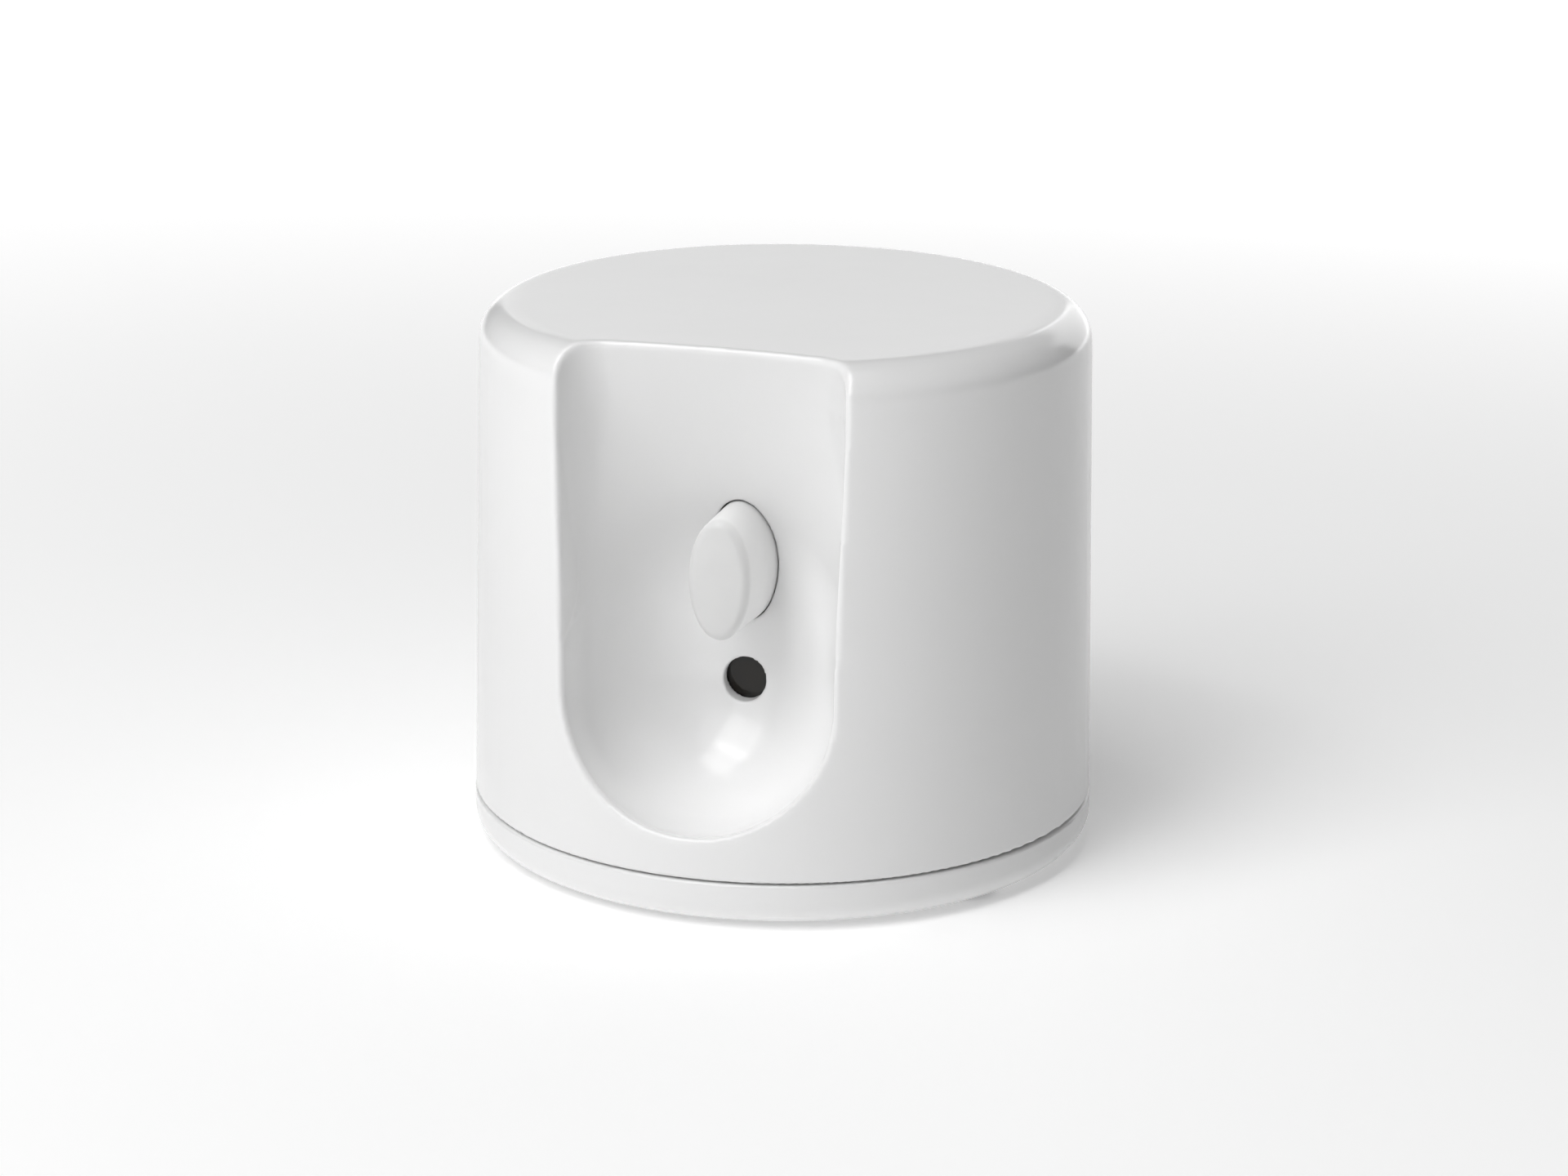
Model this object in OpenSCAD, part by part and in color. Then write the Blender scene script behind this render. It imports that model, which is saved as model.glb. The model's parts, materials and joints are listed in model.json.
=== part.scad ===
// Cylindrical weather sensor head with a thumb scoop, a push button and a sensor port.
// Units are millimetres. The origin is the middle of the resting plane, +Z is up
// and the scoop opens towards -Y.

/* [Body] */
// diameter of the housing at half height
body_d = 80; // [70:1:90]
// overall height, feet included
body_h = 71; // [62:1:80]
// housing wall thickness
wall = 2.2; // [1.6:0.1:3]
// height of the seam between the housing and the base cover
base_h = 6.4; // [5:0.1:9]
// radius of the arc that rounds the top edge
edge_r = 5.3; // [2:0.1:8]
// how far in from the side the arc meets the top
edge_reach = 5; // [1:0.1:7]
// side draft angle in degrees
draft = 1.2; // [0:0.1:2]

/* [Scoop] */
// radius of the bowl at the foot of the scoop
bowl_r = 17.6; // [14:0.1:20]
// distance of the bowl centre in front of the body axis
bowl_out = 33.6; // [30:0.1:38]
// height of the bowl centre
bowl_z = 28; // [25:0.1:32]
// upright stretch of the bowl before the back wall starts to lean
bowl_rise = 11; // [4:0.5:16]
// lean of the upper cone's axis away from vertical, degrees
scoop_lean = 49.5; // [30:0.5:55]
// half angle of the upper cone, degrees
scoop_flare = 24; // [10:0.5:30]
// outward lean of the scoop's side walls, degrees
side_lean = 1.8; // [0:0.1:4]

/* [Button] */
// width of the oval button
button_w = 8; // [6:0.1:10]
// height of the oval button
button_h = 15.6; // [12:0.1:18]
// height of the button axis above the resting plane
button_z = 40.9; // [36:0.1:45]
// distance of the button face in front of the body axis
button_front = 28; // [25:0.1:32]
// gap between the button and its opening
button_gap = 0.2; // [0.2:0.05:0.5]

/* [Sensor port] */
// radius of the round port
port_r = 2.85; // [2:0.05:3.5]
// height of the port axis above the resting plane
port_z = 24.8; // [22:0.1:28]

/* [Power] */
// radius of a battery cell
cell_r = 7.15; // [5:0.05:8]
// sideways distance from the middle to each cell axis
cell_x = 8; // [7.5:0.1:9]

/* [Hidden] */

round_fn = 128;
small_fn = 48;
slim = 0.01;

// outer body
body_r = body_d / 2;
foot_h = 0.5;
top_wall = 2.4;
seam_gap = 0.3;
base_edge_r = 3.5;

// scoop cutter
scoop_len = 62;
cone_inset = 0.1;
side_clear = 0.05;

// base cover
floor_t = 2.5;
spigot_t = 1.8;
spigot_top = 10.2;
spigot_gap = 0.15;
seal_z = 7.7;
seal_size = 1;

// screws that hold the base cover
post_ring = 35;
post_r = 3.2;
post_top = 24;
post_angles = [90, 210, 330];
base_screw_r = 1.45;
base_screw_head_r = 2.8;

// tripod insert
insert_r = 4.5;
insert_bore_r = 2.6;
insert_len = 9;
insert_boss_r = 7;

// feet
pad_r = 4;
pad_ring = 24;
pad_t = 1;
pad_angles = [30, 150, 270];

// button
sleeve_t = 1.5;
sleeve_end = -13.6;
seal_t = 0.6;
flange_front = -12.9;
flange_t = 1.4;
flange_grow = 1.3;
flange_back = flange_front + flange_t;
pin_r = 2;
pin_end = -4.5;
pin_fit = 0.05;
guide_front = -7;
guide_t = 2;
guide_w = 27;
guide_h = 14;
guide_screw_x = 10.5;
guide_boss_r = 2.6;
spring_coils = 4;
spring_r = 2.9;
spring_wire_r = 0.25;

// board
board_front = 5;
board_t = 1.6;
board_w = 40;
board_z0 = 12.5;
board_z1 = 57;
board_screw_x = 15;
board_screw_zs = [16, 53];

// switch
switch_front = -1.4;
switch_size = 8;
plunger_r = 1.4;
plunger_front = pin_end + 0.05;
plunger_len = 5.8;

// sensor behind the port
port_seat = -14.9;
port_boss_r = 5;
port_boss_end = -12.5;
window_r = 3.7;
window_t = 1;
holder_flange_r = 5.6;
holder_body_r = 4.6;
chip_r = 2.35;
sensor_board_front = -2;

// battery holder
cell_y = 17.5;
cell_z0 = 10;
cell_z1 = 59.2;
nub_r = 2.75;
nub_h = 1.3;
tray_front = 8.6;
tray_back = 20;
tray_half_w = 17;
tray_z0 = 6.5;
tray_z1 = 62.5;
pocket_z0 = 8.3;
pocket_z1 = 61;
foot_screw_x = 22.5;
foot_screw_y = 16;

// ---------- shared shapes ----------

// outer side radius at a height, with the draft
function side_r(z) = body_r + (body_h / 2 - z) * tan(draft);

// outer radius of the base cover's spigot, clear of the housing's inner wall
function spigot_r() = side_r(spigot_top) - wall - spigot_gap;

// side section of the body between two heights, its top corner rounded by an arc that
// is tangent to the top and meets the side at a slight angle
module side_section(z0, z1, inset, arc_r, reach) {
    arc_x = side_r(z1) - inset - reach;
    intersection() {
        polygon([[0, z0], [side_r(z0) - inset, z0], [side_r(z1) - inset, z1], [0, z1]]);
        union() {
            translate([0, z0])
                square([arc_x, z1 - z0]);
            translate([0, z0])
                square([body_r * 2, z1 - arc_r - z0]);
            translate([arc_x, z1 - arc_r])
                circle(r = arc_r, $fn = round_fn);
        }
    }
}

// solid of the scoop, grown outwards by an amount: an upright bowl with a round foot,
// under a leaning cone that is trimmed by two side walls
module scoop_solid(grow) {
    ball_r = bowl_r + grow;
    half_w = ball_r + side_clear;
    top_half_w = half_w + scoop_len * tan(side_lean);
    touch_h = -ball_r * sin(scoop_flare);
    touch_r = ball_r * cos(scoop_flare) - cone_inset;
    far_r = touch_r + (scoop_len - touch_h) * tan(scoop_flare);
    translate([0, -bowl_out, bowl_z]) {
        sphere(r = ball_r, $fn = round_fn);
        cylinder(h = bowl_rise, r = ball_r - cone_inset, $fn = round_fn);
        translate([0, 0, bowl_rise]) {
            sphere(r = ball_r, $fn = round_fn);
            intersection() {
                rotate([scoop_lean, 0, 0])
                    rotate_extrude($fn = round_fn)
                        polygon([[0, touch_h], [touch_r, touch_h], [far_r, scoop_len], [0, scoop_len]]);
                translate([0, scoop_len, 0])
                    rotate([90, 0, 0])
                        linear_extrude(height = 2 * scoop_len)
                            polygon([
                                [-half_w, -scoop_len],
                                [half_w, -scoop_len],
                                [half_w, 0],
                                [top_half_w, scoop_len],
                                [-top_half_w, scoop_len],
                                [-half_w, 0]
                            ]);
            }
        }
    }
}

// flat oval of the button, grown outwards by an amount
module oval(grow) {
    scale([button_w / 2 + grow, button_h / 2 + grow])
        circle(r = 1, $fn = round_fn);
}

// oval bar along Y between two positions
module oval_bar(y0, y1, grow) {
    translate([0, y1, button_z])
        rotate([90, 0, 0])
            linear_extrude(height = y1 - y0)
                oval(grow);
}

// round bar along Y between two positions
module bar_y(y0, y1, r, x, z) {
    translate([x, y1, z])
        rotate([90, 0, 0])
            cylinder(h = y1 - y0, r = r, $fn = small_fn);
}

// box given by its two opposite corners
module block(low, high) {
    translate(low)
        cube(high - low);
}

// small pan head screw along -Z from its head seat, with a cross recess
module screw(head_r, head_h, shank_r, shank_len) {
    difference() {
        union() {
            cylinder(h = head_h, r = head_r, $fn = small_fn);
            translate([0, 0, -shank_len])
                cylinder(h = shank_len, r = shank_r, $fn = small_fn);
        }
        for (turn = [0, 90])
            rotate([0, 0, turn])
                translate([-head_r * 0.6, -head_r * 0.12, head_h * 0.45])
                    cube([head_r * 1.2, head_r * 0.24, head_h]);
    }
}

// places its children at each base screw
module at_posts() {
    for (turn = post_angles)
        rotate([0, 0, turn])
            translate([post_ring, 0, 0])
                children();
}

// places its children at each foot pad
module at_pads() {
    for (turn = pad_angles)
        rotate([0, 0, turn])
            translate([pad_ring, 0, 0])
                children();
}

// ---------- housing and base ----------

module housing() {
    color([0.95, 0.95, 0.95])
    difference() {
        intersection() {
            rotate_extrude($fn = round_fn)
                side_section(base_h, body_h, 0, edge_r, edge_reach);
            union() {
                difference() {
                    translate([0, 0, base_h - 1])
                        cylinder(h = body_h, r = body_r + 3, $fn = round_fn);
                    rotate_extrude($fn = round_fn)
                        side_section(base_h - 2, body_h - top_wall, wall, edge_r - 1, edge_reach - 1);
                }
                scoop_solid(wall);
                oval_bar(-26, sleeve_end, button_gap + sleeve_t);
                bar_y(-24, port_boss_end, port_boss_r, 0, port_z);
                for (side = [-1, 1])
                    bar_y(-26, guide_front, guide_boss_r, side * guide_screw_x, button_z);
                at_posts()
                    translate([0, 0, base_h + 0.2])
                        cylinder(h = post_top - base_h, r = post_r, $fn = small_fn);
            }
        }
        scoop_solid(0);
        oval_bar(-30, sleeve_end + 1, button_gap);
        bar_y(-30, port_seat + slim, port_r, 0, port_z);
        bar_y(port_seat, port_boss_end + 1, window_r + 0.1, 0, port_z);
        for (side = [-1, 1])
            bar_y(-14, guide_front + 1, 0.85, side * guide_screw_x, button_z);
        at_posts()
            translate([0, 0, base_h - 1])
                cylinder(h = 12, r = base_screw_r + 0.05, $fn = small_fn);
    }
}

module base_cover() {
    top_z = base_h - seam_gap;
    low_r = side_r(foot_h);
    color([0.94, 0.94, 0.94])
    difference() {
        union() {
            difference() {
                rotate_extrude($fn = round_fn)
                    union() {
                        polygon([
                            [0, foot_h],
                            [low_r - base_edge_r, foot_h],
                            [low_r - base_edge_r, foot_h + base_edge_r],
                            [low_r, foot_h + base_edge_r],
                            [side_r(top_z), top_z],
                            [0, top_z]
                        ]);
                        intersection() {
                            translate([low_r - base_edge_r, foot_h + base_edge_r])
                                circle(r = base_edge_r, $fn = round_fn);
                            translate([low_r - base_edge_r, foot_h])
                                square([base_edge_r + 1, base_edge_r]);
                        }
                    }
                translate([0, 0, foot_h + floor_t])
                    cylinder(h = 20, r = spigot_r() - spigot_t, $fn = round_fn);
            }
            difference() {
                translate([0, 0, foot_h + floor_t])
                    cylinder(h = spigot_top - foot_h - floor_t, r = spigot_r(), $fn = round_fn);
                translate([0, 0, foot_h])
                    cylinder(h = 20, r = spigot_r() - spigot_t, $fn = round_fn);
                translate([0, 0, seal_z])
                    difference() {
                        cylinder(h = seal_size, r = spigot_r() + 1, $fn = round_fn);
                        cylinder(h = seal_size, r = spigot_r() - seal_size, $fn = round_fn);
                    }
                scoop_solid(wall + 0.5);
                at_posts()
                    translate([0, 0, base_h])
                        cylinder(h = 20, r = post_r + 0.4, $fn = small_fn);
            }
            at_posts()
                intersection() {
                    translate([0, 0, foot_h + 1])
                        cylinder(h = base_h - foot_h - 1, r = post_r, $fn = small_fn);
                    translate([-post_ring, 0, 0])
                        cylinder(h = 20, r = spigot_r(), $fn = round_fn);
                }
            cylinder_from(foot_h + 1, foot_h + insert_len + 2, insert_boss_r, 0, 0);
            for (side = [-1, 1])
                cylinder_from(foot_h + 1, tray_z0, 3, side * foot_screw_x, foot_screw_y);
        }
        at_posts() {
            cylinder(h = 20, r = base_screw_r + 0.25, $fn = small_fn);
            translate([0, 0, foot_h - 1])
                cylinder(h = 3.4, r = base_screw_head_r + 0.3, $fn = small_fn);
        }
        at_pads()
            translate([0, 0, foot_h - 1])
                cylinder(h = 1 + pad_t - foot_h, r = pad_r + 0.15, $fn = small_fn);
        cylinder_from(foot_h - 1, foot_h + insert_len + 0.1, insert_r + 0.02, 0, 0);
        for (side = [-1, 1])
            cylinder_from(foot_h + floor_t, tray_z0 + 1, 1, side * foot_screw_x, foot_screw_y);
    }
}

// upright cylinder between two heights
module cylinder_from(z0, z1, r, x, y) {
    translate([x, y, z0])
        cylinder(h = z1 - z0, r = r, $fn = small_fn);
}

module base_seal() {
    seal_out = side_r(seal_z + seal_size) - wall - 0.02;
    seal_in = spigot_r() - seal_size + 0.05;
    color([0.12, 0.12, 0.12])
    difference() {
        translate([0, 0, seal_z + 0.05])
            cylinder(h = seal_size - 0.1, r = seal_out, $fn = round_fn);
        translate([0, 0, seal_z - 1])
            cylinder(h = seal_size + 2, r = seal_in, $fn = round_fn);
        scoop_solid(wall + 0.6);
        at_posts()
            cylinder(h = 20, r = post_r + 0.5, $fn = small_fn);
    }
}

module base_screws() {
    color([0.6, 0.6, 0.62])
    at_posts()
        translate([0, 0, foot_h + 2.4])
            rotate([180, 0, 0])
                screw(base_screw_head_r, 1.9, base_screw_r, 12);
}

module tripod_insert() {
    color([0.8, 0.65, 0.3])
    difference() {
        union() {
            cylinder_from(foot_h + 0.1, foot_h + 1.6, insert_r, 0, 0);
            cylinder_from(foot_h + 1.6, foot_h + 2.2, insert_r - 0.5, 0, 0);
            cylinder_from(foot_h + 2.2, foot_h + insert_len, insert_r, 0, 0);
        }
        cylinder_from(foot_h - 1, foot_h + insert_len - 1, insert_bore_r, 0, 0);
    }
}

module foot_pads() {
    color([0.15, 0.15, 0.15])
    at_pads()
        cylinder(h = pad_t, r = pad_r, $fn = small_fn);
}

// ---------- button and switch ----------

module button_cap() {
    color([0.97, 0.97, 0.96])
    union() {
        oval_bar(-button_front + 0.6, flange_front + slim, 0);
        oval_bar(-button_front, -button_front + 0.6, -0.4);
        oval_bar(flange_front, flange_back, flange_grow);
        bar_y(flange_back - slim, pin_end, pin_r, 0, button_z);
    }
}

module button_seal() {
    color([0.2, 0.2, 0.2])
    difference() {
        oval_bar(sleeve_end, sleeve_end + seal_t, button_gap + sleeve_t);
        oval_bar(sleeve_end - 1, sleeve_end + seal_t + 1, 0.08);
    }
}

module button_spring() {
    room = guide_front - flange_back;
    pitch = (room - 2 * spring_wire_r - 0.1) / (spring_coils - 1);
    color([0.7, 0.7, 0.72])
    union() {
        for (i = [0 : spring_coils - 1])
            translate([0, flange_back + 0.05 + spring_wire_r + i * pitch, button_z])
                rotate([90, 0, 0])
                    rotate_extrude($fn = small_fn)
                        translate([spring_r, 0])
                            circle(r = spring_wire_r, $fn = 24);
        for (i = [0 : spring_coils - 2])
            rotate_about_button(i * 180)
                bar_y(
                    flange_back + 0.05 + spring_wire_r + i * pitch,
                    flange_back + 0.05 + spring_wire_r + (i + 1) * pitch,
                    spring_wire_r * 0.8, spring_r, button_z
                );
    }
}

// turns its children about the button axis
module rotate_about_button(turn) {
    translate([0, 0, button_z])
        rotate([0, turn, 0])
            translate([0, 0, -button_z])
                children();
}

module button_guide() {
    color([0.25, 0.25, 0.27])
    difference() {
        union() {
            block(
                [-guide_w / 2, guide_front, button_z - guide_h / 2],
                [guide_w / 2, guide_front + guide_t, button_z + guide_h / 2]
            );
            bar_y(guide_front + guide_t - slim, guide_front + guide_t + 1.2, 4, 0, button_z);
        }
        bar_y(guide_front - 1, guide_front + guide_t + 2, pin_r + pin_fit, 0, button_z);
        for (side = [-1, 1])
            bar_y(guide_front - 1, guide_front + guide_t + 1, 1, side * guide_screw_x, button_z);
    }
}

module guide_screws() {
    color([0.6, 0.6, 0.62])
    for (side = [-1, 1])
        translate([side * guide_screw_x, guide_front + guide_t, button_z])
            rotate([-90, 0, 0])
                screw(1.9, 1.2, 0.8, 8);
}

module switch_body() {
    half = switch_size / 2;
    color([0.15, 0.15, 0.16])
    difference() {
        block([-half, switch_front, button_z - half], [half, board_front, button_z + half]);
        bar_y(switch_front - 1, board_front - 0.8, plunger_r + pin_fit, 0, button_z);
    }
}

module switch_plunger() {
    color([0.85, 0.85, 0.8])
    bar_y(plunger_front, plunger_front + plunger_len, plunger_r, 0, button_z);
}

// ---------- sensor behind the port ----------

module sensor_window() {
    color([0.05, 0.04, 0.04])
    bar_y(port_seat, port_seat + window_t, window_r, 0, port_z);
}

module sensor_seal() {
    color([0.1, 0.1, 0.1])
    difference() {
        bar_y(port_seat + window_t, port_seat + window_t + 0.5, window_r, 0, port_z);
        bar_y(port_seat, port_seat + window_t + 2, 2.9, 0, port_z);
    }
}

module sensor_holder() {
    nose = port_seat + window_t + 0.5;
    seat = port_boss_end + 0.1;
    color([0.08, 0.08, 0.08])
    difference() {
        union() {
            bar_y(nose, seat + 1, window_r, 0, port_z);
            bar_y(seat, seat + 1.4, holder_flange_r, 0, port_z);
            bar_y(seat + 1, sensor_board_front, holder_body_r, 0, port_z);
        }
        bar_y(nose - 1, sensor_board_front + 1, chip_r + 0.05, 0, port_z);
    }
}

module sensor_chip() {
    color([0.7, 0.7, 0.72])
    union() {
        bar_y(-9, sensor_board_front, chip_r, 0, port_z);
        bar_y(-9.6, -9 + slim, chip_r - 0.5, 0, port_z);
    }
}

module sensor_board() {
    color([0.1, 0.35, 0.2])
    block([-7, sensor_board_front, port_z - 6], [7, sensor_board_front + 1, port_z + 6]);
}

module sensor_header() {
    color([0.9, 0.88, 0.8])
    block([-4, sensor_board_front + 1, port_z - 2], [4, board_front, port_z + 2]);
}

// ---------- main board ----------

module main_board() {
    color([0.08, 0.35, 0.2])
    difference() {
        block([-board_w / 2, board_front, board_z0], [board_w / 2, board_front + board_t, board_z1]);
        for (side = [-1, 1], z = board_screw_zs)
            bar_y(board_front - 1, board_front + board_t + 1, 1.1, side * board_screw_x, z);
    }
}

module board_screws() {
    color([0.6, 0.6, 0.62])
    for (side = [-1, 1], z = board_screw_zs)
        translate([side * board_screw_x, board_front, z])
            rotate([90, 0, 0])
                screw(1.9, 1.2, 0.95, 6);
}

module radio_module() {
    color([0.75, 0.76, 0.78])
    block([5.5, board_front - 2, 30], [17.5, board_front, 48]);
}

module antenna() {
    color([0.92, 0.92, 0.9])
    block([-4, board_front - 1, 51], [5, board_front, 54]);
}

module pressure_sensor() {
    color([0.8, 0.8, 0.8])
    difference() {
        block([-14, board_front - 1.2, 26], [-10, board_front, 30]);
        bar_y(board_front - 2, board_front - 0.8, 0.4, -12, 28);
    }
}

module capacitor() {
    color([0.2, 0.22, 0.3])
    bar_y(board_front - 6, board_front, 2.6, 12, 20);
}

module crystal() {
    color([0.75, 0.75, 0.75])
    block([-15, board_front - 1.4, 42], [-9, board_front, 45]);
}

module status_led() {
    color([0.95, 0.95, 0.85])
    union() {
        bar_y(board_front - 1.2, board_front, 1.5, -8, 36);
        translate([-8, board_front - 1.2, 36])
            sphere(r = 1.2, $fn = small_fn);
    }
}

// ---------- power ----------

module battery_holder() {
    color([0.12, 0.12, 0.13])
    difference() {
        union() {
            block([-tray_half_w, tray_front, tray_z0], [tray_half_w, tray_back, tray_z1]);
            for (side = [-1, 1], z = board_screw_zs)
                bar_y(board_front + board_t, tray_front + slim, 2.4, side * board_screw_x, z);
            block(
                [-foot_screw_x - 4, foot_screw_y - 4, tray_z0],
                [foot_screw_x + 4, foot_screw_y + 3.5, tray_z0 + 1.8]
            );
        }
        for (side = [-1, 1]) {
            cylinder_from(pocket_z0, pocket_z1, cell_r + 0.25, side * cell_x, cell_y);
            cylinder_from(tray_z0 - 1, tray_z0 + 3, 1.1, side * foot_screw_x, foot_screw_y);
            for (z = board_screw_zs)
                bar_y(board_front, tray_front + 3, 1, side * board_screw_x, z);
        }
    }
}

module holder_screws() {
    color([0.6, 0.6, 0.62])
    for (side = [-1, 1])
        translate([side * foot_screw_x, foot_screw_y, tray_z0 + 1.8])
            screw(2, 1.3, 0.95, 4.8);
}

module battery_cells() {
    color([0.3, 0.32, 0.35])
    union() {
        cylinder_from(cell_z0, cell_z1, cell_r, -cell_x, cell_y);
        cylinder_from(cell_z1 - slim, cell_z1 + nub_h, nub_r, -cell_x, cell_y);
        cylinder_from(cell_z0, cell_z1, cell_r, cell_x, cell_y);
        cylinder_from(cell_z0 - nub_h, cell_z0 + slim, nub_r, cell_x, cell_y);
    }
}

module contact_plates() {
    color([0.8, 0.78, 0.7])
    union() {
        cylinder_from(pocket_z0, pocket_z0 + 0.3, 5, -cell_x, cell_y);
        cylinder_from(pocket_z0, pocket_z0 + 0.3, 5, cell_x, cell_y);
        cylinder_from(pocket_z1 - 0.35, pocket_z1, 5, -cell_x, cell_y);
        cylinder_from(pocket_z1 - 0.35, pocket_z1, 5, cell_x, cell_y);
        block([-cell_x, tray_back + 0.1, pocket_z1 - 0.35], [cell_x, tray_back + 1.2, pocket_z1]);
    }
}

module contact_springs() {
    color([0.75, 0.75, 0.76])
    union() {
        contact_spring(pocket_z0 + 0.3, cell_z0, -cell_x);
        contact_spring(cell_z1, pocket_z1 - 0.35, cell_x);
    }
}

// rings of one contact spring between two heights
module contact_spring(z0, z1, x) {
    wire_r = (z1 - z0) / 6;
    for (i = [0 : 2])
        translate([x, cell_y, z0 + wire_r * (1 + 2 * i)])
            rotate_extrude($fn = small_fn)
                translate([4 - i * 0.6, 0])
                    circle(r = wire_r * 1.02, $fn = 24);
}

housing();
base_cover();
base_seal();
base_screws();
tripod_insert();
foot_pads();
button_cap();
button_seal();
button_spring();
button_guide();
guide_screws();
switch_body();
switch_plunger();
sensor_window();
sensor_seal();
sensor_holder();
sensor_chip();
sensor_board();
sensor_header();
main_board();
board_screws();
radio_module();
antenna();
pressure_sensor();
capacitor();
crystal();
status_led();
battery_holder();
holder_screws();
battery_cells();
contact_plates();
contact_springs();
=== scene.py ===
import json
import math

import bpy
import numpy as np
from mathutils import Matrix, Vector


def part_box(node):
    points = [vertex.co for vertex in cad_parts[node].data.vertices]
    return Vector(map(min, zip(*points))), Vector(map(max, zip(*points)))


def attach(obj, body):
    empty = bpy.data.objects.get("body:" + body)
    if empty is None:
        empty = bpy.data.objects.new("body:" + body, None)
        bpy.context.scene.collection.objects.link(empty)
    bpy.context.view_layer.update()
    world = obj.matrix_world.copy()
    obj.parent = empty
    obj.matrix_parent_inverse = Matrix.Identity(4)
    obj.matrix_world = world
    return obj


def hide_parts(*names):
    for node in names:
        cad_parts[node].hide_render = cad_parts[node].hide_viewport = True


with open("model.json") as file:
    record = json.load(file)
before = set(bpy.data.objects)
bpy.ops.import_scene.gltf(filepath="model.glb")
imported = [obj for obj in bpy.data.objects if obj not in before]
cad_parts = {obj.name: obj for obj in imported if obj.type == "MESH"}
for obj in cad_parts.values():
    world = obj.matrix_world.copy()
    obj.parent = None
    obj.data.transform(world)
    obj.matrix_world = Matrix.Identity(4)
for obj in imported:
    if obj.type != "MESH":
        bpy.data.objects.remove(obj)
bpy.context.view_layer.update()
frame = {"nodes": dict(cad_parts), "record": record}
MM = 0.001


# ---------------------------------------------------------------- sizes, mm
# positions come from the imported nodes; most shape constants repeat the part's own
housing_lo, housing_hi = (np.array(c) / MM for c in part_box("housing"))
button_lo, button_hi = (np.array(c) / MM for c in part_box("button_cap"))
window_lo, window_hi = (np.array(c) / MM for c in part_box("sensor_window"))
plate_lo, plate_hi = (np.array(c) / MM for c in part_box("base_cover"))

BODY_H = housing_hi[2]
BASE_Z = housing_lo[2]
DRAFT = math.radians(1.2)
FOOT_R = 0.5 * (housing_hi[0] - housing_lo[0])
EDGE_R = 5.3
EDGE_REACH = 5.0
CREASE_R = 0.35
WALL = 2.2
TOP_WALL = 2.4

BOWL_R = 17.6
BOWL_OUT = 33.6
BOWL_Z = 28.0
BOWL_RISE = 11.0
LEAN = math.radians(49.5)
FLARE = math.radians(24.0)
SIDE_CLEAR = 0.05
SIDE_LEAN = math.radians(1.8)
CORNER_R = 5.0
FLAT_START, FLAT_END = 6.0, 44.0
LIP_R = 0.8

FLANGE_GROW = 1.3
BUTTON_A = 0.5 * (button_hi[0] - button_lo[0]) - FLANGE_GROW
BUTTON_B = 0.5 * (button_hi[2] - button_lo[2]) - FLANGE_GROW
BUTTON_Z = 0.5 * (button_hi[2] + button_lo[2])
BUTTON_FRONT = button_lo[1]
PIN_END = button_hi[1]
FLANGE_FRONT = -12.9
FLANGE_BACK = -11.5
PIN_R = 2.0
# the button and its hole widen by the swell towards the root, unlike the part
BUTTON_GAP = 0.14
BUTTON_SWELL = 0.36
SLEEVE_T = 1.5
SLEEVE_END = -13.6

PORT_R = 2.85
PORT_Z = 0.5 * (window_hi[2] + window_lo[2])
PORT_SEAT = window_lo[1]
PORT_BOSS_R = 5.0
PORT_BOSS_END = -12.5
WINDOW_R = 3.8

GUIDE_X = 10.5
GUIDE_FRONT = -7.0
GUIDE_BOSS_R = 2.6
GUIDE_BORE_R = 0.85
GUIDE_BORE_MID, GUIDE_BORE_HALF = -10.0, 4.0
POST_RING = 35.0
POST_R = 3.2
POST_TOP = 24.0
POST_BORE_R = 1.5
POST_BORE_TOP = 17.4
POST_TURNS = (90, 210, 330)

PLATE_Z = plate_lo[2]
PLATE_R = 0.5 * (plate_hi[0] - plate_lo[0]) - 0.02
BASE_EDGE_R = 3.5
SEAM_GAP = 0.3
FLOOR_T = 2.5
# hidden spigot, 0.3 smaller than the part draws it
SPIGOT_R = 37.87
SPIGOT_T = 1.8
SPIGOT_TOP = 10.2
SEAL_Z = 7.7
INSERT_R = 4.5
INSERT_LEN = 9.0
INSERT_BOSS_R = 7.0
TRAY_FOOT = (22.5, 16.0)
TRAY_Z = 6.5
HEAD_R = 3.1
HEAD_DEPTH = 2.4
SHANK_R = 1.7
PAD_RING = 24.0
PAD_R = 4.0
PAD_T = 1.0
PAD_TURNS = (30, 150, 270)


# ---------------------------------------------------------------- camera
def look_from(azimuth, distance, height, aim, roll, lens):
    """Camera on a circle round the body axis, aimed at a point, without shift."""
    a = math.radians(azimuth)
    place = Vector((math.sin(a) * distance, -math.cos(a) * distance, height))
    data = bpy.data.cameras.new("photo_camera")
    data.sensor_width = 36.0
    data.lens = lens
    data.clip_start, data.clip_end = 0.01, 50.0
    cam = bpy.data.objects.new("photo_camera", data)
    bpy.context.scene.collection.objects.link(cam)
    cam.location = place
    turn = (Vector(aim) - place).to_track_quat("-Z", "Y").to_matrix().to_4x4()
    spin = Vector((0, 0, 1))
    cam.rotation_mode = "QUATERNION"
    cam.rotation_quaternion = (turn @ Matrix.Rotation(roll, 4, spin)).to_quaternion()
    bpy.context.scene.camera = cam
    return cam


VIEW_AZ = 17.5
cam = look_from(VIEW_AZ, 0.4938, 0.1804, (0.0, 0.0, 0.0323), 0.006, 90.35)


# ---------------------------------------------------------------- distance fields, mm
def round_cut(a, b, r):
    """Intersection of two solids with a rounded edge of radius r."""
    return np.minimum(-r, np.maximum(a, b)) + np.hypot(np.maximum(r + a, 0), np.maximum(r + b, 0))


def side_field(x, y, z):
    foot = FOOT_R - (z - BASE_Z) * math.tan(DRAFT)
    return (np.hypot(x, y) - foot) * math.cos(DRAFT)


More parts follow.
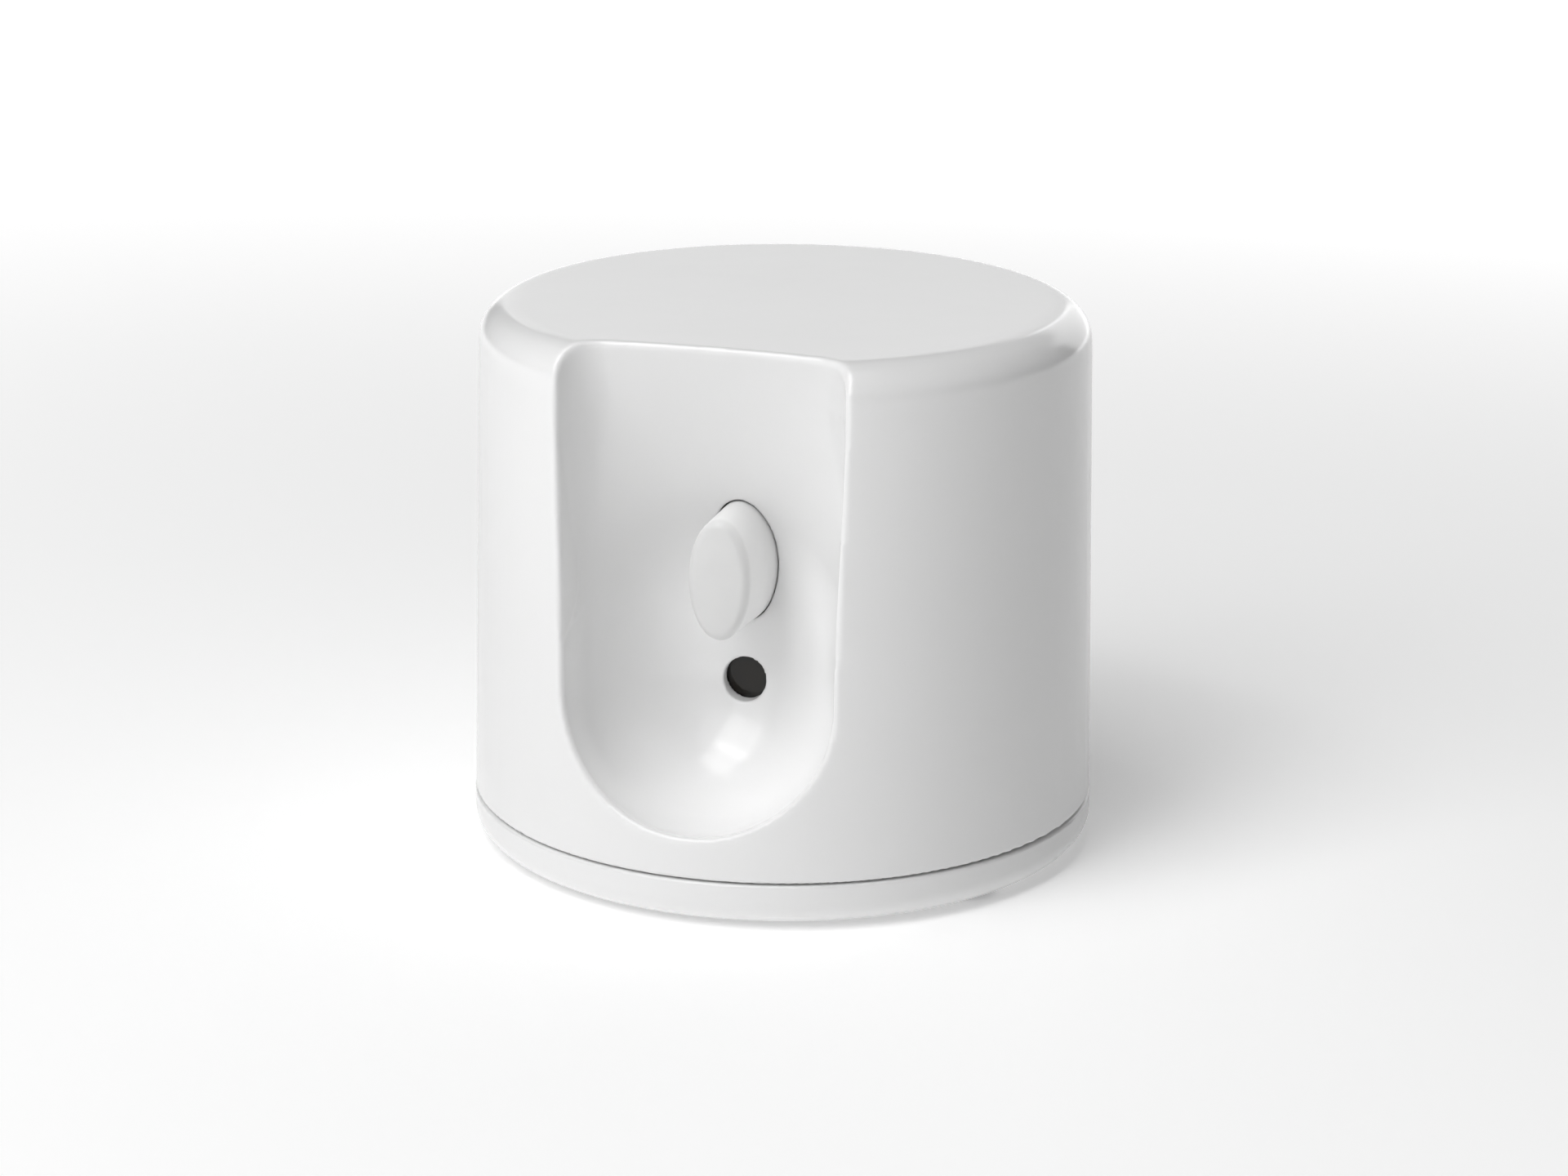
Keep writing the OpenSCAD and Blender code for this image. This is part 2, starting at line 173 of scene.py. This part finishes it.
def scoop_field(x, y, z):
    m = -y - BOWL_OUT
    h0 = z - BOWL_Z
    up = h0 - np.clip(h0, 0, BOWL_RISE)
    flat = np.hypot(x, m)
    bowl = np.hypot(flat, up) - BOWL_R
    h1 = h0 - BOWL_RISE
    along = m * math.sin(LEAN) + h1 * math.cos(LEAN)
    across = np.sqrt(np.maximum(x * x + m * m + h1 * h1 - along * along, 1e-9))
    cone = across * math.cos(FLARE) - along * math.sin(FLARE) - BOWL_R
    ball = np.sqrt(x * x + m * m + h1 * h1) - BOWL_R
    upper = np.where(along * math.cos(FLARE) < -across * math.sin(FLARE), ball, cone)
    back = LEAN - FLARE
    plane = -m * math.cos(back) + h1 * math.sin(back) - BOWL_R
    share = np.clip((h1 - FLAT_START) / (FLAT_END - FLAT_START), 0, 1)
    upper = upper + (plane - upper) * share * share * (3 - 2 * share)
    soft = CORNER_R * np.clip((h1 - 3.0) / 22.0, 0, 1) + 0.01
    wall = np.abs(x) - BOWL_R - SIDE_CLEAR - np.maximum(h1, 0) * math.tan(SIDE_LEAN)
    upper = round_cut(upper, wall, soft)
    return np.minimum(bowl, upper)


def oval_field(x, z, grow):
    a, b = BUTTON_A + grow, BUTTON_B + grow
    u, v = x, z - BUTTON_Z
    k0 = np.hypot(u / a, v / b)
    k1 = np.hypot(u / a ** 2, v / b ** 2) + 1e-9
    return k0 * (k0 - 1) / k1


def rod_field(x, z, cx, cz, r):
    return np.hypot(x - cx, z - cz) - r


def top_field(x, y, z, top, arc_r, reach):
    """Flat top with a big arc that meets the side at a slight angle."""
    arc_x = FOOT_R - (BODY_H - BASE_Z) * math.tan(DRAFT) - reach
    out = np.maximum(np.hypot(x, y) - arc_x, 0)
    rise = z - top + arc_r
    return np.where(rise > 0, np.hypot(out, rise), out + 0.3 * rise) - arc_r


def housing_field(x, y, z):
    side = side_field(x, y, z)
    scoop = scoop_field(x, y, z)
    outer = round_cut(side, top_field(x, y, z, BODY_H, EDGE_R, EDGE_REACH), CREASE_R)
    outer = round_cut(outer, -scoop, LIP_R)
    outer = round_cut(outer, BASE_Z - z, 0.3)
    roof = top_field(x, y, z, BODY_H - TOP_WALL, EDGE_R - 1, EDGE_REACH + WALL - 1)
    inner = round_cut(side + WALL, roof, CREASE_R)
    room = round_cut(inner, WALL - scoop, 0.8)
    shell = np.maximum(outer, -room)
    sleeve = np.maximum(oval_field(x, z, BUTTON_GAP + SLEEVE_T), y - SLEEVE_END)
    boss = np.maximum(rod_field(x, z, 0, PORT_Z, PORT_BOSS_R), y - PORT_BOSS_END)
    extra = np.minimum(sleeve, boss)
    guide = np.maximum(rod_field(np.abs(x), z, GUIDE_X, BUTTON_Z, GUIDE_BOSS_R), y - GUIDE_FRONT)
    extra = np.minimum(extra, guide)
    for turn in POST_TURNS:
        a = math.radians(turn)
        post = np.hypot(x - POST_RING * math.cos(a), y - POST_RING * math.sin(a)) - POST_R
        extra = np.minimum(extra, np.maximum(post, z - POST_TOP - 0.2))
    shell = np.minimum(shell, np.maximum(extra, outer + 0.02))
    push = np.maximum(oval_field(x, z, BUTTON_GAP + BUTTON_SWELL), y - SLEEVE_END - 1)
    port = np.maximum(rod_field(x, z, 0, PORT_Z, PORT_R), y - PORT_SEAT - 0.3)
    seat = np.maximum(PORT_SEAT - y, y - PORT_BOSS_END - 1)
    seat = np.maximum(rod_field(x, z, 0, PORT_Z, WINDOW_R), seat)
    shell = round_cut(shell, -push, 0.1)
    shell = round_cut(shell, -port, 0.12)
    shell = np.maximum(shell, -seat)
    screw = rod_field(np.abs(x), z, GUIDE_X, BUTTON_Z, GUIDE_BORE_R)
    screw = np.maximum(screw, np.abs(y - GUIDE_BORE_MID) - GUIDE_BORE_HALF)
    shell = np.maximum(shell, -screw)
    for turn in POST_TURNS:
        a = math.radians(turn)
        bore = np.hypot(x - POST_RING * math.cos(a), y - POST_RING * math.sin(a)) - POST_BORE_R
        shell = np.maximum(shell, -np.maximum(bore, z - POST_BORE_TOP))
    return shell


def base_field(x, y, z):
    """Base cover: outer ring with a round foot, floor, spigot, bosses and pockets."""
    around = np.hypot(x, y)
    side = (around - PLATE_R + (z - PLATE_Z - BASE_EDGE_R) * math.tan(DRAFT)) * math.cos(DRAFT)
    ring = round_cut(side, PLATE_Z - z, BASE_EDGE_R)
    ring = round_cut(ring, z - (BASE_Z - SEAM_GAP), 0.25)
    floor_z = PLATE_Z + FLOOR_T
    shell = np.maximum(ring, -np.maximum(around - SPIGOT_R + SPIGOT_T, floor_z - z))
    spigot = np.maximum(np.maximum(around - SPIGOT_R, SPIGOT_R - SPIGOT_T - around), z - SPIGOT_TOP)
    spigot = np.maximum(spigot, WALL + 0.5 - scoop_field(x, y, z))
    groove = np.maximum(np.abs(z - SEAL_Z - 0.5) - 0.5, SPIGOT_R - 1.0 - around)
    spigot = np.maximum(spigot, -groove)
    boss = np.maximum(around - INSERT_BOSS_R, z - PLATE_Z - INSERT_LEN - 2)
    tray = np.maximum(np.hypot(np.abs(x) - TRAY_FOOT[0], y - TRAY_FOOT[1]) - 3, z - TRAY_Z)
    for turn in POST_TURNS:
        a = math.radians(turn)
        post = np.hypot(x - POST_RING * math.cos(a), y - POST_RING * math.sin(a))
        spigot = np.maximum(spigot, np.minimum(POST_R + 0.4 - post, z - BASE_Z + 0.01))
        lug = np.maximum(np.maximum(post - POST_R, z - BASE_Z + 0.02), around - SPIGOT_R)
        shell = np.minimum(shell, np.maximum(lug, PLATE_Z + 1 - z))
    solid = np.minimum(np.minimum(boss, tray), spigot)
    shell = np.minimum(shell, np.maximum(solid, PLATE_Z + 1 - z))
    for turn in POST_TURNS:
        a = math.radians(turn)
        post = np.hypot(x - POST_RING * math.cos(a), y - POST_RING * math.sin(a))
        shell = round_cut(shell, -np.maximum(post - HEAD_R, z - PLATE_Z - HEAD_DEPTH), 0.15)
        shell = np.maximum(shell, SHANK_R - post)
    for turn in PAD_TURNS:
        a = math.radians(turn)
        pad = np.hypot(x - PAD_RING * math.cos(a), y - PAD_RING * math.sin(a)) - PAD_R - 0.15
        shell = round_cut(shell, -np.maximum(pad, z - PAD_T), 0.15)
    bore = np.maximum(around - INSERT_R - 0.02, z - PLATE_Z - INSERT_LEN - 0.1)
    return round_cut(shell, -bore, 0.1)


# ---------------------------------------------------------------- surface nets
def grid_lines(stops):
    """Grid coordinates from (start, step) pairs; the last pair closes the range."""
    out = []
    for (a, step), (b, _) in zip(stops, stops[1:]):
        n = max(1, int(round((b - a) / step)))
        out.extend(a + (b - a) * i / n for i in range(n))
    out.append(stops[-1][0])
    return np.array(out)


def net_mesh(field, xs, ys, zs):
    """Closed quad mesh of field = 0 on a stretched grid, vertices on the surface."""
    shape = (len(xs), len(ys), len(zs))
    values = np.empty(shape)
    for i, x in enumerate(xs):
        yy, zz = np.meshgrid(ys, zs, indexing="ij")
        values[i] = field(np.full(yy.shape, x), yy, zz)
    solid = values < 0
    count = np.zeros(tuple(n - 1 for n in shape), np.int8)
    for i in (0, 1):
        for j in (0, 1):
            for k in (0, 1):
                count += solid[i:shape[0] - 1 + i, j:shape[1] - 1 + j, k:shape[2] - 1 + k]
    cells = np.argwhere((count > 0) & (count < 8))
    index = -np.ones(count.shape, np.int64)
    index[tuple(cells.T)] = np.arange(len(cells))
    axes = (xs, ys, zs)
    total = np.zeros((len(cells), 3))
    hits = np.zeros(len(cells))
    for axis in range(3):
        others = [a for a in range(3) if a != axis]
        for p in (0, 1):
            for q in (0, 1):
                low = cells.copy()
                low[:, others[0]] += p
                low[:, others[1]] += q
                high = low.copy()
                high[:, axis] += 1
                a, b = values[tuple(low.T)], values[tuple(high.T)]
                cross = (a < 0) != (b < 0)
                t = np.where(cross, a / np.where(cross, a - b, 1), 0)
                point = np.stack([axes[n][low[:, n]] for n in range(3)], 1)
                step = axes[axis][high[:, axis]] - axes[axis][low[:, axis]]
                point[:, axis] += t * step
                total += point * cross[:, None]
                hits += cross
    verts = total / hits[:, None]
    reach = np.stack([axes[n][cells[:, n] + 1] - axes[n][cells[:, n]] for n in range(3)], 1)
    start = verts.copy()
    eps = 0.01
    for _ in range(4):
        f = field(*verts.T)
        grad = np.empty_like(verts)
        for n in range(3):
            ahead, behind = verts.copy(), verts.copy()
            ahead[:, n] += eps
            behind[:, n] -= eps
            grad[:, n] = (field(*ahead.T) - field(*behind.T)) / (2 * eps)
        size = np.maximum((grad ** 2).sum(1), 0.25)
        verts = verts - grad * (f / size)[:, None]
        verts = np.clip(verts, start - 0.6 * reach, start + 0.6 * reach)
    quads = []
    for axis in range(3):
        u, v = [a for a in range(3) if a != axis]
        low = [slice(None)] * 3
        high = [slice(None)] * 3
        low[axis], high[axis] = slice(0, -1), slice(1, None)
        edges = np.argwhere(solid[tuple(low)] != solid[tuple(high)])
        keep = (edges[:, u] > 0) & (edges[:, v] > 0)
        keep &= (edges[:, u] < shape[u] - 1) & (edges[:, v] < shape[v] - 1)
        edges = edges[keep]
        ring = []
        for du, dv in ((1, 1), (0, 1), (0, 0), (1, 0)):
            c = edges.copy()
            c[:, u] -= du
            c[:, v] -= dv
            ring.append(index[tuple(c.T)])
        quad = np.stack(ring, 1)
        outward = solid[tuple(low)][tuple(edges.T)]
        if axis == 1:
            outward = ~outward
        quad[~outward] = quad[~outward][:, ::-1]
        quads.append(quad)
    return verts, np.concatenate(quads)


# ---------------------------------------------------------------- meshes
def add_piece(name, verts, faces, body, mat, sharp=None):
    mesh = bpy.data.meshes.new(name)
    mesh.from_pydata((np.asarray(verts) * MM).tolist(), [], [list(f) for f in faces])
    mesh.validate()
    mesh.polygons.foreach_set("use_smooth", [True] * len(mesh.polygons))
    if sharp is not None:
        mesh.set_sharp_from_angle(angle=math.radians(sharp))
    mesh.materials.append(mat)
    obj = bpy.data.objects.new(name, mesh)
    bpy.context.scene.collection.objects.link(obj)
    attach(obj, body)
    return obj


def loft(rings, closed_start=True, closed_end=True):
    """Quads between rings of equal length; end rings are capped with a fan."""
    n = len(rings[0])
    verts = [p for ring in rings for p in ring]
    faces = []
    for k in range(len(rings) - 1):
        for i in range(n):
            j = (i + 1) % n
            faces.append((k * n + i, k * n + j, (k + 1) * n + j, (k + 1) * n + i))
    for closed, base, flip in ((closed_start, 0, True), (closed_end, (len(rings) - 1) * n, False)):
        if closed:
            centre = np.mean(verts[base:base + n], axis=0)
            verts.append(tuple(centre))
            c = len(verts) - 1
            for i in range(n):
                j = (i + 1) % n
                face = (base + i, base + j, c)
                faces.append(face[::-1] if flip else face)
    return verts, faces


# ---------------------------------------------------------------- materials
def nodes_of(name):
    mat = bpy.data.materials.new(name)
    mat.use_nodes = True
    tree = mat.node_tree
    return mat, tree, tree.nodes["Principled BSDF"]


def link(tree, a, b):
    tree.links.new(a, b)


def noise(tree, scale, detail=3.0, rough=0.5, stretch=None):
    coord = tree.nodes.new("ShaderNodeTexCoord")
    tex = tree.nodes.new("ShaderNodeTexNoise")
    tex.inputs["Scale"].default_value = scale
    tex.inputs["Detail"].default_value = detail
    tex.inputs["Roughness"].default_value = rough
    source = coord.outputs["Object"]
    if stretch:
        mapping = tree.nodes.new("ShaderNodeMapping")
        mapping.inputs["Scale"].default_value = stretch
        link(tree, source, mapping.inputs["Vector"])
        source = mapping.outputs["Vector"]
    link(tree, source, tex.inputs["Vector"])
    return tex.outputs["Fac"]


def span(tree, value, low, high):
    node = tree.nodes.new("ShaderNodeMapRange")
    node.inputs["From Min"].default_value = 0.3
    node.inputs["From Max"].default_value = 0.7
    node.inputs["To Min"].default_value = low
    node.inputs["To Max"].default_value = high
    link(tree, value, node.inputs["Value"])
    return node.outputs["Result"]


def tint(tree, value, dark, light):
    node = tree.nodes.new("ShaderNodeMix")
    node.data_type = "RGBA"
    node.inputs["A"].default_value = (*dark, 1)
    node.inputs["B"].default_value = (*light, 1)
    link(tree, value, node.inputs["Factor"])
    return node.outputs["Result"]


def bump(tree, shader, value, strength, distance):
    node = tree.nodes.new("ShaderNodeBump")
    node.inputs["Strength"].default_value = strength
    node.inputs["Distance"].default_value = distance
    link(tree, value, node.inputs["Height"])
    link(tree, node.outputs["Normal"], shader.inputs["Normal"])


def gloss_plastic(name, dark, light, rough, skin=0.0, ior=1.5):
    """Moulded plastic: faint flow clouds, orange peel and uneven polish."""
    mat, tree, shader = nodes_of(name)
    flow = span(tree, noise(tree, 35, 2), 0, 1)
    link(tree, tint(tree, flow, dark, light), shader.inputs["Base Color"])
    link(tree, span(tree, noise(tree, 160, 4), rough[0], rough[1]), shader.inputs["Roughness"])
    shader.inputs["IOR"].default_value = ior
    shader.inputs["Subsurface Weight"].default_value = skin
    shader.inputs["Subsurface Radius"].default_value = (0.002, 0.002, 0.0018)
    shader.inputs["Subsurface Scale"].default_value = 1.0
    bump(tree, shader, noise(tree, 420, 1, 0.4), 0.06, 0.00002)
    return mat


def button_plastic_painted_shade(name):
    """White plastic whose front face is tinted greyer as painted shade, with the lighter white skirt
    behind it.
    """
    mat, tree, shader = nodes_of(name)
    coord = tree.nodes.new("ShaderNodeTexCoord")
    split = tree.nodes.new("ShaderNodeSeparateXYZ")
    link(tree, coord.outputs["Object"], split.inputs[0])
    # painted shade: the front face gets a greyer colour than the skirt behind it, standing in for shade
    # falling on the face
    shade_fade = tree.nodes.new("ShaderNodeMapRange")
    shade_fade.interpolation_type = "SMOOTHSTEP"
    shade_fade.inputs["From Min"].default_value = BUTTON_FRONT * MM + 0.0003
    shade_fade.inputs["From Max"].default_value = BUTTON_FRONT * MM + 0.0022
    link(tree, split.outputs["Y"], shade_fade.inputs["Value"])
    cloud = span(tree, noise(tree, 260, 2), 0, 1)
    face = tint(tree, cloud, (0.69, 0.69, 0.688), (0.715, 0.715, 0.712))
    skirt = tint(tree, cloud, (0.86, 0.86, 0.857), (0.88, 0.88, 0.877))
    mix = tree.nodes.new("ShaderNodeMix")
    mix.data_type = "RGBA"
    link(tree, face, mix.inputs["A"])
    link(tree, skirt, mix.inputs["B"])
    link(tree, shade_fade.outputs["Result"], mix.inputs["Factor"])
    link(tree, mix.outputs["Result"], shader.inputs["Base Color"])
    link(tree, span(tree, noise(tree, 500, 3), 0.3, 0.38), shader.inputs["Roughness"])
    bump(tree, shader, noise(tree, 900, 2, 0.4), 0.05, 0.00002)
    return mat


def metal(name, dark, light, rough, stretch):
    mat, tree, shader = nodes_of(name)
    grain = noise(tree, 900, 4, 0.6, stretch)
    link(tree, tint(tree, span(tree, grain, 0, 1), dark, light), shader.inputs["Base Color"])
    link(tree, span(tree, grain, rough[0], rough[1]), shader.inputs["Roughness"])
    shader.inputs["Metallic"].default_value = 1.0
    bump(tree, shader, grain, 0.15, 0.00004)
    return mat


def matt(name, dark, light, rough, scale=500, height=0.00008, strength=0.35):
    """Rubber, moulded parts, boards and ceramics: fine grain over a mottled colour."""
    mat, tree, shader = nodes_of(name)
    mottle = span(tree, noise(tree, scale * 0.2, 3), 0, 1)
    link(tree, tint(tree, mottle, dark, light), shader.inputs["Base Color"])
    grain = noise(tree, scale, 4, 0.6)
    link(tree, span(tree, grain, rough[0], rough[1]), shader.inputs["Roughness"])
    bump(tree, shader, grain, strength, height)
    return mat


def smoked(name):
    mat, tree, shader = nodes_of(name)
    cloud = span(tree, noise(tree, 700, 3), 0, 1)
    glass = tint(tree, cloud, (0.003, 0.0025, 0.002), (0.010, 0.007, 0.004))
    link(tree, glass, shader.inputs["Base Color"])
    link(tree, span(tree, noise(tree, 300, 2), 0.08, 0.16), shader.inputs["Roughness"])
    shader.inputs["IOR"].default_value = 1.45
    bump(tree, shader, noise(tree, 260, 2), 0.2, 0.0001)
    return mat


WHITE = ((0.85, 0.85, 0.85), (0.865, 0.865, 0.865))
MATS = {
    "white_abs": gloss_plastic("white_abs", *WHITE, (0.15, 0.19), 0.05),
    "white_base": gloss_plastic("white_base", *WHITE, (0.16, 0.21), 0.05),
    "button_white": button_plastic_painted_shade("button_white"),
    "black_rubber": matt("black_rubber", (0.012, 0.012, 0.013), (0.03, 0.03, 0.03), (0.65, 0.85)),
    "steel": metal("steel", (0.42, 0.42, 0.44), (0.62, 0.62, 0.64), (0.22, 0.4), (1, 1, 0.2)),
    "brass": metal("brass", (0.62, 0.43, 0.16), (0.80, 0.60, 0.28), (0.2, 0.38), (1, 1, 6)),
    "black_plastic": matt("black_plastic", (0.02, 0.02, 0.022), (0.04, 0.04, 0.044), (0.4, 0.6)),
    "smoked_window": smoked("smoked_window"),
    "pcb_green": matt("pcb_green", (0.01, 0.09, 0.035), (0.02, 0.15, 0.06), (0.3, 0.45), 900),
    "tin_can": metal("tin_can", (0.5, 0.51, 0.53), (0.68, 0.69, 0.7), (0.3, 0.5), (1, 6, 1)),
    "ceramic_white": matt("ceramic_white", (0.62, 0.6, 0.54), (0.76, 0.74, 0.68), (0.35, 0.5)),
    "cap_sleeve": matt("cap_sleeve", (0.02, 0.025, 0.06), (0.04, 0.05, 0.1), (0.25, 0.4)),
    "led_clear": gloss_plastic("led_clear", (0.7, 0.68, 0.58), (0.8, 0.78, 0.68), (0.05, 0.12), 0.2),
    "cell_jacket": matt("cell_jacket", (0.03, 0.035, 0.04), (0.06, 0.065, 0.07), (0.2, 0.35)),
    "spring_steel": metal("spring_steel", (0.5, 0.5, 0.52), (0.7, 0.7, 0.72), (0.18, 0.34), (4, 1, 1)),
}

slots = {s["node"]: s["material_slot"] for s in frame["record"]["subparts"]}
for node_name, obj in frame["nodes"].items():
    obj.data.materials.clear()
    obj.data.materials.append(MATS[slots[node_name]])

# ---------------------------------------------------------------- housing
SIDE = FOOT_R + 1.0
xs = grid_lines([(-SIDE, 1.0), (-24, 0.5), (-6, 0.3), (6, 0.5), (24, 1.0), (SIDE, 1)])
ys = grid_lines([(-SIDE, 0.5), (-21, 0.3), (-12, 1.0), (SIDE, 1)])
zs = grid_lines([
    (BASE_Z - 0.6, 0.2),
    (BASE_Z + 1, 0.5),
    (20, 0.3),
    (29, 0.5),
    (32, 0.3),
    (50, 0.5),
    (BODY_H + 0.7, 1),
])
shell_verts, shell_faces = net_mesh(housing_field, xs, ys, zs)
housing = add_piece("housing_shell", shell_verts, shell_faces, "case", MATS["white_abs"])
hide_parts("housing")

# ---------------------------------------------------------------- base cover
across = grid_lines([(-PLATE_R - 1, 0.6), (PLATE_R + 1, 1)])
levels = grid_lines([
    (PLATE_Z - 0.4, 0.2),
    (PLATE_Z + 1.4, 0.4),
    (BASE_Z - 0.9, 0.15),
    (BASE_Z, 0.5),
    (PLATE_Z + INSERT_LEN + 2.6, 1),
])
base_verts, base_faces = net_mesh(base_field, across, across, levels)
base = add_piece("base_ring", base_verts, base_faces, "case", MATS["white_base"])
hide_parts("base_cover")

# ---------------------------------------------------------------- button
SEGMENTS = 96


def oval_ring(y, grow):
    ring = []
    for i in range(SEGMENTS):
        t = 2 * math.pi * i / SEGMENTS
        ring.append(((BUTTON_A + grow) * math.cos(t), y, BUTTON_Z + (BUTTON_B + grow) * math.sin(t)))
    return ring


def pin_ring(y, r):
    ring = []
    for i in range(SEGMENTS):
        t = 2 * math.pi * i / SEGMENTS
        ring.append((r * math.cos(t), y, BUTTON_Z + r * math.sin(t)))
    return ring


NOSE_R = 1.2
CROWN = 0.25
BUTTON_ROOT = -16.5
rings = []
for step in range(8, 0, -1):
    share = step / 9
    inner = 1 - share
    ring = []
    for i in range(SEGMENTS):
        t = 2 * math.pi * i / SEGMENTS
        ring.append((
            (BUTTON_A - NOSE_R) * inner * math.cos(t),
            BUTTON_FRONT + CROWN * inner ** 2,
            BUTTON_Z + (BUTTON_B - NOSE_R) * inner * math.sin(t),
        ))
    rings.append(ring)
for step in range(9):
    t = math.pi / 2 * step / 8
    rings.append(oval_ring(BUTTON_FRONT + CROWN + NOSE_R * (1 - math.cos(t)), -NOSE_R * (1 - math.sin(t))))
NOSE_BACK = BUTTON_FRONT + CROWN + NOSE_R
for step in range(1, 9):
    share = step / 8
    rings.append(oval_ring(NOSE_BACK + (BUTTON_ROOT - NOSE_BACK) * share, BUTTON_SWELL * share))
rings.append(oval_ring(FLANGE_FRONT, BUTTON_SWELL))
rings.append(oval_ring(FLANGE_FRONT, FLANGE_GROW - 0.15))
rings.append(oval_ring(FLANGE_FRONT + 0.15, FLANGE_GROW))
rings.append(oval_ring(FLANGE_BACK - 0.15, FLANGE_GROW))
rings.append(oval_ring(FLANGE_BACK, FLANGE_GROW - 0.15))
rings.append(pin_ring(FLANGE_BACK, PIN_R + 0.2))
rings.append(pin_ring(FLANGE_BACK + 0.2, PIN_R))
rings.append(pin_ring(PIN_END - 0.3, PIN_R))
rings.append(pin_ring(PIN_END, PIN_R - 0.3))
button_verts, button_faces = loft(rings)
EDGE_ANGLE = 40
white = MATS["button_white"]
button = add_piece("button_oval", button_verts, button_faces, "button", white, EDGE_ANGLE)
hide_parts("button_cap")

# ---------------------------------------------------------------- stage and light
def floor_piece():
    verts, faces = [], []
    rings_n, spokes, reach = 24, 96, 6.0
    for i in range(rings_n + 1):
        r = reach * (i / rings_n) ** 2
        for j in range(spokes):
            a = 2 * math.pi * j / spokes
            verts.append((r * math.cos(a), r * math.sin(a), -0.00002))
    for i in range(rings_n):
        for j in range(spokes):
            k = (j + 1) % spokes
            faces.append((i * spokes + j, (i + 1) * spokes + j, (i + 1) * spokes + k, i * spokes + k))
    mesh = bpy.data.meshes.new("floor")
    mesh.from_pydata(verts, [], faces)
    mesh.validate()
    obj = bpy.data.objects.new("floor", mesh)
    bpy.context.scene.collection.objects.link(obj)
    mat, tree, shader = nodes_of("floor_pale")
    cloud = span(tree, noise(tree, 3, 2), 0, 1)
    link(tree, tint(tree, cloud, (0.88, 0.88, 0.88), (0.9, 0.9, 0.9)), shader.inputs["Base Color"])
    shader.inputs["Roughness"].default_value = 0.9
    shader.inputs["Specular IOR Level"].default_value = 0.1
    # painted light: the floor glows, weakly near the object and more strongly further out
    shader.inputs["Emission Color"].default_value = (1, 1, 1, 1)
    painted_floor_glow = tree.nodes.new("ShaderNodeMapRange")
    painted_floor_glow.interpolation_type = "SMOOTHSTEP"
    painted_floor_glow.inputs["From Min"].default_value = 0.10
    painted_floor_glow.inputs["From Max"].default_value = 0.70
    painted_floor_glow.inputs["To Min"].default_value = 0.24
    painted_floor_glow.inputs["To Max"].default_value = 0.75
    spot = tree.nodes.new("ShaderNodeTexCoord")
    away = tree.nodes.new("ShaderNodeVectorMath")
    away.operation = "LENGTH"
    link(tree, spot.outputs["Object"], away.inputs[0])
    link(tree, away.outputs["Value"], painted_floor_glow.inputs["Value"])
    link(tree, painted_floor_glow.outputs["Result"], shader.inputs["Emission Strength"])
    mesh.materials.append(mat)


floor_piece()


def area_light(name, azimuth, elevation, distance, size, power, aim=(0, 0, 0.035), shape="RECTANGLE"):
    """Soft light placed by its direction as the photo's camera sees it."""
    a, e = math.radians(VIEW_AZ + azimuth), math.radians(elevation)
    back = Vector((math.sin(a) * math.cos(e), -math.cos(a) * math.cos(e), math.sin(e)))
    data = bpy.data.lights.new(name, "AREA")
    data.shape = shape
    data.size, data.size_y = size
    data.energy = power
    obj = bpy.data.objects.new(name, data)
    obj.location = Vector(aim) + back * distance
    obj.rotation_mode = "QUATERNION"
    obj.rotation_quaternion = back.to_track_quat("Z", "Y")
    bpy.context.scene.collection.objects.link(obj)
    return obj


LAMP_SIZE = (0.5, 0.5)
LAMP_REACH = 0.9
# name, azimuth and elevation from the camera in degrees, watts
LAMPS = (
    ("key_low", -45, 12, 1.0),
    ("key_mid", -45, 45, 2.6),
    ("key_high", -45, 70, 3.0),
    ("fill_front", -20, 45, 0.75),
    ("top_soft", 0, 85, 0.45),
    ("rim_low", 150, 12, 1.25),
    ("rim_high", 150, 45, 0.1),
    ("back_low", 180, 12, 0.7),
)
for lamp, azimuth, elevation, power in LAMPS:
    area_light(lamp, azimuth, elevation, LAMP_REACH, LAMP_SIZE, power)

world = bpy.data.worlds.new("studio")
world.use_nodes = True
world.node_tree.nodes["Background"].inputs["Color"].default_value = (1, 1, 1, 1)
world.node_tree.nodes["Background"].inputs["Strength"].default_value = 0.02
bpy.context.scene.world = world
bpy.context.scene.view_settings.view_transform = "Standard"
